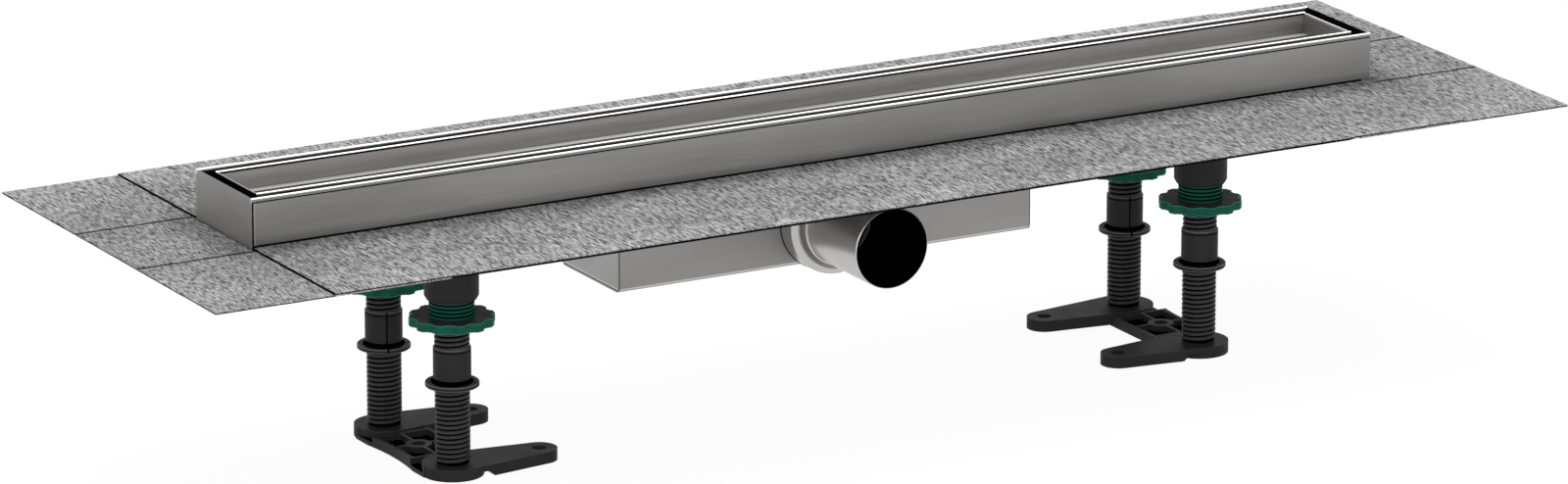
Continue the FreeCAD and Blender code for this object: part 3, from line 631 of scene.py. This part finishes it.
def outlet_shells():
    """The drawn neck with its raised ring, and the spigot, both with painted shade inside and
    painted highlights on their sloped faces.
    """
    bore = 25.2 * MM
    materials = [round_steel, shaded_bore, bend_highlight_steel]
    plain, dark, bent = range(len(materials))
    for name in ("outlet_collar", "outlet_spigot"):
        low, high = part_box(name)
        middle = (low + high) / 2

        def choose(face):
            centre = face.calc_center_median() - middle
            reach = max(math.hypot(vert.co.x - middle.x, vert.co.z - middle.z)
                        for vert in face.verts)
            # Painted shade inside the bore and on the spigot's mouth
            if reach < bore and face.normal.x * centre.x + face.normal.z * centre.z < 0:
                return dark
            at_mouth = max(vert.co.y for vert in face.verts) < low.y + 0.05 * MM
            if name == "outlet_spigot" and face.normal.y < -0.9 and at_mouth:
                return dark
            # Painted highlight on the sloped faces
            return bent if 0.2 < abs(face.normal.y) < 0.9 else plain

        dress(name, clean_copy(name), materials, "channel", choose)


def weld_ring(name, centre, radius, thickness):
    """A closed weld bead on a circle that faces along Y, with a faint ripple."""
    total = 150
    count = 10
    points = [centre + Vector((math.cos(math.tau * step / total), 0,
                               math.sin(math.tau * step / total))) * radius
              for step in range(total)]
    leaning = Vector((0.31, 0.22, 0.93))
    vertices = []
    for index, point in enumerate(points):
        forward = (points[(index + 1) % total] - points[index - 1]).normalized()
        side = forward.cross(leaning).normalized()
        other = forward.cross(side)
        size = thickness * (1 + 0.1 * math.sin(index * 1.9))
        for step in range(count):
            angle = math.tau * step / count
            vertices.append(point + side * size * math.cos(angle)
                            + other * size * math.sin(angle))
    faces = rings(total, count) + join_rows(total - 1, 0, count)
    new_piece(name, vertices, faces, [weld_scale_and_shade], "channel")


def outlet_seam():
    """The weld round the neck on the sump wall."""
    low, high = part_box("outlet_collar")
    centre = (low + high) / 2
    at_wall = Vector((centre.x, high.y - 0.1 * MM, centre.z))
    weld_ring("neck_seam", at_wall, (high.x - low.x) / 2, 0.35 * MM)


channel_shell()
tray_shell()
for side in SIDES:
    end_plate(f"channel_end_{side}", upright_steel)
for side in SIDES:
    end_plate(f"sump_end_{side}", sump_end_steel, line=0.5 * MM, bend=1.0 * MM)
sump_shell()
outlet_shells()
outlet_seam()


# Fleece collar

LAP = 76 * MM
DRAPE = 8 * MM
FELT = 1.0 * MM
CELL = 3.5 * MM
SWELL = 1.0
# Widths of the painted shadow strips on the felt, and the share of a cut edge left plain above
# its painted shade
SEAM_STRIP = 0.6 * MM
JOINT_STRIP = 1.0 * MM
CUT_STRIP = 0.35 * MM
LIGHT_EDGE = 0.35
RIPPLE = 0.10 * MM
RIPPLES_PER_METRE = 28
RAGGED = 0.2 * MM
RAGS_PER_METRE = 300


def grid_lines(low, high, extra):
    """Even grid lines between two ends, with the bounds of painted shadow strips added."""
    count = max(2, round((high - low) / CELL))
    lines = [low + (high - low) * index / count for index in range(count + 1)]
    clear = [line for line in lines if all(abs(line - place) > 0.3 * MM for place in extra)]
    return sorted(set(clear) | {place for place in extra if low <= place <= high} | {low, high})


def fleece_sheet(node, strips_x=(), strips_y=(), joggled=False):
    """One felt sheet: a slightly uneven slab with strips of painted shadow, and painted shade on
    its cut edges.

    A joggled sheet lies on the corner sheets at both ends. Between its laps it steps down to
    the flange, and swells so that its top stays level there.
    """
    low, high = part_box(node)
    seed = Vector((low.x * 37, low.y * 53, 4.0))
    lap_start = end_x - LAP
    lines_x = grid_lines(low.x, high.x, [place for strip in strips_x for place in strip])
    lines_y = grid_lines(low.y, high.y, [place for strip in strips_y for place in strip])
    across = len(lines_x) - 1
    deep = len(lines_y) - 1

    def height(x, y):
        spread_out = Vector((x * RIPPLES_PER_METRE, y * RIPPLES_PER_METRE, 0))
        ripple = RIPPLE * noise.noise(spread_out + seed)
        if not joggled:
            return high.z - FELT + ripple
        rise = smooth_step((abs(x) - lap_start + DRAPE) / DRAPE)
        return high.z - FELT * (2 - rise) + ripple

    def loft(x):
        if not joggled:
            return 0.0
        return SWELL * smooth_step((lap_start - abs(x)) / DRAPE)

    def ragged(x, y, draw):
        return RAGGED * noise.noise(Vector((x * RAGS_PER_METRE, y * RAGS_PER_METRE, draw)) + seed)

    def spot(i, j):
        x = lines_x[i]
        y = lines_y[j]
        if i in (0, across):
            x += ragged(x, y, 1)
        if j in (0, deep):
            y += ragged(x, y, 2)
        return x, y

    def in_painted_shadow(i, j):
        x = (lines_x[i] + lines_x[i + 1]) / 2
        y = (lines_y[j] + lines_y[j + 1]) / 2
        return (any(first <= x <= last for first, last in strips_x)
                or any(first <= y <= last for first, last in strips_y))

    levels = (0.0, FELT * (1 - LIGHT_EDGE), FELT)
    row = across + 1
    layer = row * (deep + 1)
    vertices = []
    for lift in levels:
        for j in range(deep + 1):
            for i in range(row):
                x, y = spot(i, j)
                vertices.append((x, y, height(x, y) + lift * (1 + loft(x))))
    rim = list(range(row))
    rim += [j * row + across for j in range(1, deep + 1)]
    rim += [deep * row + i for i in reversed(range(across))]
    rim += [j * row for j in reversed(range(1, deep))]
    faces = []
    marks = []
    for j in range(deep):
        for i in range(across):
            corner = j * row + i
            square = (corner, corner + 1, corner + row + 1, corner + row)
            faces.append(tuple(reversed(square)))
            marks.append(0)
            # Top face, with painted shadow in the strips
            faces.append(tuple(2 * layer + index for index in square))
            marks.append(int(in_painted_shadow(i, j)))
    # Cut edges: painted shade on their lower part, except where a sheet lies over them, and on
    # the whole of the long sheets' end edges
    for index, corner in enumerate(rim):
        ahead = rim[(index + 1) % len(rim)]
        at_lap = joggled and abs(vertices[corner][0] - vertices[ahead][0]) < 0.5 * MM
        under = not joggled and abs(vertices[corner][0] + vertices[ahead][0]) < 2 * end_x
        for step in (0, 1):
            faces.append((step * layer + corner, step * layer + ahead,
                          (step + 1) * layer + ahead, (step + 1) * layer + corner))
            marks.append(int(at_lap or step == 0 and not under))
    used = sorted({index for face in faces for index in face})
    place = {index: position for position, index in enumerate(used)}
    piece = new_piece(f"{node}_felt", [vertices[index] for index in used],
                      [tuple(place[index] for index in face) for face in faces],
                      [fleece_felt, felt_shade], "channel", marks)
    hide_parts(node)


for side, sign in SIDES.items():
    lap_line = tuple(sorted((sign * end_x, sign * (end_x + SEAM_STRIP))))
    for place in ("front", "middle", "back"):
        low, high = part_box(f"fleece_{side}_{place}")
        edges = [(low.y, low.y + JOINT_STRIP), (high.y - JOINT_STRIP, high.y)]
        strips = {"front": edges[1:], "middle": edges, "back": edges[:1]}[place]
        fleece_sheet(f"fleece_{side}_{place}",
                     [lap_line] if place != "middle" else [], strips)
for depth in DEPTHS:
    fleece_sheet(f"fleece_{depth}",
                 [(-end_x, -end_x + CUT_STRIP), (end_x - CUT_STRIP, end_x)], joggled=True)


# Levelling feet

SEAM_ANGLES = {"back_left": -107, "back_right": -105, "front_left": -46, "front_right": -39}
SEAM_WIDTH = math.radians(2.2)
SEAM_DEPTH = 0.25 * MM
SEAM_DIP = math.radians(9)
THREAD_PITCH = 3.0 * MM
THREAD_DEPTH = 0.9 * MM
THREAD_START = math.radians(60)
THREAD_PROFILE = ((0.12, 0.0), (0.24, 1.0), (0.7, 1.0), (0.82, 0.0))

# Materials of the moulded pieces: plain, painted edge highlight, painted shade, and last a
# painted highlight on a stud's ridges or painted sheen on a nut's flat faces
PLAIN, EDGE_LIGHT, IN_SHADE, SHEEN = range(4)


def turned_points(centre, radius, height, angles):
    """Points round an upright axis, with a radius taken off at each angle's dip."""
    return [(centre.x + (radius - dip) * math.cos(angle),
             centre.y + (radius - dip) * math.sin(angle), height) for angle, dip in angles]


def seam_angles(seam):
    """Angles round a moulded part, with a fine groove at both of its parting lines."""
    steps = 28
    span = math.pi - 2 * SEAM_WIDTH
    angles = []
    for half in (seam, seam + math.pi):
        angles += [(half - SEAM_WIDTH, 0.0), (half, SEAM_DEPTH), (half + SEAM_WIDTH, 0.0)]
        angles += [(half + SEAM_WIDTH + span * step / steps, 0.0) for step in range(1, steps)]
    return angles


def wind_thread(centre, core, crest, start, end, seam, vertices, faces, marks):
    """Wind a thread round a core; it runs out at both ends and dips at the parting lines."""
    per_turn = 48
    runout = 8
    count = len(THREAD_PROFILE)
    total = int(((end - start) / THREAD_PITCH - 0.95) * per_turn)
    first = len(vertices)
    root = core - 0.05 * MM
    for step in range(total + 1):
        turn = step / per_turn
        angle = math.tau * turn + THREAD_START
        size = min(1.0, step / runout, (total - step) / runout)
        offset = abs((angle - seam + math.pi / 2) % math.pi - math.pi / 2)
        size *= 0.45 + 0.55 * smooth_step(offset / SEAM_DIP)
        for share, rise in THREAD_PROFILE:
            reach = root + (crest - root) * rise * size
            vertices.append((centre.x + reach * math.cos(angle),
                             centre.y + reach * math.sin(angle),
                             start + (turn + share) * THREAD_PITCH))
    for step in range(total):
        here = first + step * count
        there = here + count
        for corner in range(count):
            ahead = (corner + 1) % count
            faces.append((here + corner, here + ahead, there + ahead, there + corner))
            # Painted highlight on the crests and the flanks that face up, painted shade on the
            # flanks that face down and the roots
            marks.append(SHEEN if corner in (1, 2) else IN_SHADE)
    last = first + total * count
    faces.append(tuple(range(first, first + count)))
    faces.append(tuple(range(last, last + count)))
    marks += [IN_SHADE, IN_SHADE]


def stud_shell(name, body):
    """The levelling stud, with wound threads and a parting line down each side, painted
    highlights on its edges and thread crests and painted shade in its grooves, gaps and thread
    roots.
    """
    node = f"threaded_stud_{name}"
    low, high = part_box(node)
    centre = (low + high) / 2
    thread = 10.65 * MM
    core = thread - THREAD_DEPTH
    pin = 9.15 * MM
    band = 11.5 * MM
    ring = (high.x - low.x) / 2
    pad_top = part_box("base_bracket_left")[1].z
    ring_low = pad_top + 48 * MM
    ring_high = ring_low + 2.7 * MM
    band_low = ring_high + 2.3 * MM
    band_top = ring_high + 21.8 * MM
    groove = band_top - 2.2 * MM
    gap = band - 0.8 * MM
    seam = math.radians(SEAM_ANGLES[name])
    rows = [
        (pin - EDGE, low.z, PLAIN), (pin, low.z + EDGE, PLAIN), (pin, pad_top, IN_SHADE),
        (core, pad_top + 0.01 * MM, IN_SHADE), (core, ring_low, IN_SHADE),
        (ring - EDGE, ring_low, EDGE_LIGHT), (ring, ring_low + EDGE, PLAIN),
        (ring, ring_high - EDGE, EDGE_LIGHT), (ring - EDGE, ring_high, PLAIN),
        (band + 1.5 * MM, ring_high, IN_SHADE), (gap, ring_high + 0.01 * MM, IN_SHADE),
        (gap, band_low, IN_SHADE), (band, band_low + 0.2 * MM, PLAIN), (band, groove, IN_SHADE),
        (band - 0.5 * MM, groove + 0.1 * MM, IN_SHADE),
        (band - 0.5 * MM, groove + 0.6 * MM, IN_SHADE), (band, groove + 0.7 * MM, PLAIN),
        (band, band_top - EDGE, EDGE_LIGHT), (band - EDGE, band_top, PLAIN),
        (core, band_top + 0.01 * MM, IN_SHADE), (core, high.z - EDGE, PLAIN),
        (core - EDGE, high.z, PLAIN),
    ]
    angles = seam_angles(seam)
    count = len(angles)
    vertices = [point for radius, height, mark in rows
                for point in turned_points(centre, radius, height, angles)]
    faces = rings(len(rows), count)
    half = count // 2
    marks = []
    for radius, height, mark in rows[:-1]:
        for step in range(count):
            # Painted shade down the parting-line grooves on the ring and band
            on_seam = radius >= band - 0.01 * MM and step % half in (0, 1) and height > ring_low
            marks.append(IN_SHADE if on_seam else mark)
    faces.append(tuple(range(count)))
    faces.append(tuple((len(rows) - 1) * count + step for step in range(count)))
    marks += [IN_SHADE, PLAIN]
    for start, end in ((pad_top + 0.1 * MM, ring_low + 1.5 * MM),
                       (band_top - 2.5 * MM, high.z - EDGE)):
        wind_thread(centre, core, thread, start, end, seam, vertices, faces, marks)
    piece = new_piece(f"{node}_looks", vertices, faces,
                      [black_plastic, black_edge_highlight, black_shade, thread_highlight_plastic], body,
                      marks)
    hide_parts(node)


def nut_shell(name, body):
    """The hand nut: a lobed flange with soft edges and a ribbed neck, painted highlights on its
    edges, painted sheen on its flat tops and painted shade in its rib valleys and bore.
    """
    node = f"levelling_nut_{name}"
    low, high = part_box(node)
    middle = (low + high) / 2
    outside = 26.1 * MM
    scallop = 6 * MM
    lobes = 12
    reach = outside + scallop - 2.3 * MM
    bore = 11.05 * MM
    neck = 13.75 * MM
    valley = neck - 0.6 * MM
    shoulder = low.z + 5.5 * MM
    rib = 2.4 * MM
    count = lobes * 12

    def lobed(angle):
        pitch = math.tau / lobes
        offset = (angle + pitch / 2) % pitch - pitch / 2
        inside = scallop ** 2 - (reach * math.sin(offset)) ** 2
        if inside <= 0:
            return outside
        return min(outside, reach * math.cos(offset) - math.sqrt(inside))

    rows = [
        (bore, low.z, True, IN_SHADE), (outside - EDGE, low.z, True, EDGE_LIGHT),
        (outside, low.z + EDGE, True, PLAIN), (outside, shoulder - EDGE, True, EDGE_LIGHT),
        (outside - EDGE, shoulder, True, SHEEN), (neck, shoulder, False, PLAIN),
    ]
    start = shoulder
    while start + rib < high.z:
        rows += [(neck, start + 0.45 * rib, False, IN_SHADE),
                 (valley, start + 0.6 * rib, False, IN_SHADE),
                 (valley, start + 0.8 * rib, False, IN_SHADE),
                 (neck, start + 0.95 * rib, False, PLAIN)]
        start += rib
    rows += [(neck, high.z - EDGE, False, EDGE_LIGHT), (neck - EDGE, high.z, False, SHEEN),
             (bore, high.z, False, IN_SHADE), (bore, low.z + 0.01 * MM, False, IN_SHADE)]
    vertices = []
    for radius, height, is_lobed, mark in rows:
        for step in range(count):
            angle = math.tau * step / count
            size = radius - (outside - lobed(angle)) if is_lobed and radius > bore else radius
            vertices.append((middle.x + size * math.cos(angle),
                             middle.y + size * math.sin(angle), height))
    faces = rings(len(rows), count) + join_rows(len(rows) - 1, 0, count)
    marks = [mark for radius, height, is_lobed, mark in rows[:-1] for step in range(count)]
    marks += [IN_SHADE] * count
    piece = new_piece(f"{node}_looks", vertices, faces,
                      [green_plastic, green_edge_highlight, green_shade, nut_face_sheen], body,
                      marks)
    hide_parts(node)


def moulded_shell(node, body, edge, trench=0.0):
    """A moulded part with its edges rounded off, and painted shade down in its pockets."""
    work = clean_copy(node)
    for face in work.faces:
        low = face.calc_center_median().z < trench
        face.material_index = IN_SHADE if low and face.normal.z > 0.9 else PLAIN
    soften(work, edge)
    dress(node, work, [black_plastic, black_edge_highlight, black_shade], body)


for side in SIDES:
    moulded_shell(f"base_bracket_{side}", f"{side}_foot", 0.35 * MM, trench=5.0 * MM)
    for depth in DEPTHS:
        leg = f"{depth}_{side}"
        moulded_shell(f"leg_socket_{leg}", "channel", EDGE)
        stud_shell(leg, f"{side}_foot")
        nut_shell(leg, f"nut_{leg}")


# Floor, light and camera

def background_rays(tree):
    """1 for rays that see the background: from the camera, and mirrored or refracted ones."""
    path = tree.nodes.new("ShaderNodeLightPath")
    seen = path.outputs["Is Camera Ray"]
    for kind in ("Is Glossy Ray", "Is Transmission Ray"):
        either = tree.nodes.new("ShaderNodeMath")
        either.operation = "MAXIMUM"
        tree.links.new(seen, either.inputs[0])
        tree.links.new(path.outputs[kind], either.inputs[1])
        seen = either.outputs[0]
    return seen


def floor():
    """A plain pale floor that shows white and keeps a faint shadow."""
    reach = 14
    mesh = bpy.data.meshes.new("floor")
    corners = [(-reach, -reach, 0), (reach, -reach, 0), (reach, reach, 0), (-reach, reach, 0)]
    mesh.from_pydata(corners, [], [(0, 1, 2, 3)])
    plane = bpy.data.objects.new("floor", mesh)
    bpy.context.scene.collection.objects.link(plane)
    material = bpy.data.materials.new("floor")
    material.use_nodes = True
    tree = material.node_tree
    tree.nodes.clear()
    out = tree.nodes.new("ShaderNodeOutputMaterial")
    pale = tree.nodes.new("ShaderNodeBsdfDiffuse")
    pale.inputs["Color"].default_value = (0.8, 0.8, 0.8, 1)
    shadow = tree.nodes.new("ShaderNodeBsdfDiffuse")
    shadow.inputs["Color"].default_value = (0.1, 0.1, 0.1, 1)
    glow = tree.nodes.new("ShaderNodeEmission")
    glow.inputs["Strength"].default_value = 0.94
    both = tree.nodes.new("ShaderNodeAddShader")
    pick = tree.nodes.new("ShaderNodeMixShader")
    tree.links.new(shadow.outputs[0], both.inputs[0])
    tree.links.new(glow.outputs[0], both.inputs[1])
    tree.links.new(background_rays(tree), pick.inputs[0])
    tree.links.new(pale.outputs[0], pick.inputs[1])
    tree.links.new(both.outputs[0], pick.inputs[2])
    tree.links.new(pick.outputs[0], out.inputs["Surface"])
    mesh.materials.append(material)


def world():
    """A plain grey sky for light, which shows white behind the object."""
    sky = bpy.data.worlds.new("sky")
    bpy.context.scene.world = sky
    sky.use_nodes = True
    tree = sky.node_tree
    tree.nodes.clear()
    out = tree.nodes.new("ShaderNodeOutputWorld")
    back = tree.nodes.new("ShaderNodeBackground")
    strength = tree.nodes.new("ShaderNodeMapRange")
    strength.inputs["To Min"].default_value = 0.5
    strength.inputs["To Max"].default_value = 1.0
    tree.links.new(background_rays(tree), strength.inputs["Value"])
    tree.links.new(strength.outputs["Result"], back.inputs["Strength"])
    back.inputs["Color"].default_value = (1, 1, 1, 1)
    tree.links.new(back.outputs[0], out.inputs["Surface"])


def lamp(name, place, target, size, power):
    """A soft rectangular lamp that points at a target."""
    light = bpy.data.lights.new(name, "AREA")
    light.shape = "RECTANGLE"
    light.size, light.size_y = size
    light.energy = power
    lamp_object = bpy.data.objects.new(name, light)
    bpy.context.scene.collection.objects.link(lamp_object)
    lamp_object.location = place
    towards = Vector(target) - Vector(place)
    lamp_object.rotation_euler = towards.to_track_quat("-Z", "Y").to_euler()


def camera():
    """The photograph's camera."""
    data = bpy.data.cameras.new("camera")
    data.sensor_fit = "HORIZONTAL"
    data.sensor_width = SENSOR
    data.lens = FOCAL_PIXELS / PHOTO_WIDTH * SENSOR
    data.clip_end = 60
    view = bpy.data.objects.new("camera", data)
    bpy.context.scene.collection.objects.link(view)
    turn = Euler((math.radians(90 - ELEVATION), 0, math.radians(AZIMUTH))).to_matrix()
    turn = turn @ Matrix.Rotation(math.radians(ROLL), 3, "Z")
    middle = Vector((0, 0, fleece_top))
    place = middle + turn @ Vector((ASIDE, BELOW, DISTANCE))
    view.matrix_world = Matrix.Translation(place) @ turn.to_4x4()
    bpy.context.scene.camera = view


floor()
world()
lamp("overhead", place=(0.2, 0.5, 1.9), target=(0, 0, 0.15), size=(2.6, 1.3), power=26)
lamp("front_fill", place=(-1.8, -2.4, 1.0), target=(0, 0, 0.1), size=(1.6, 1.2), power=22)
camera()
bpy.context.scene.view_settings.view_transform = "Standard"
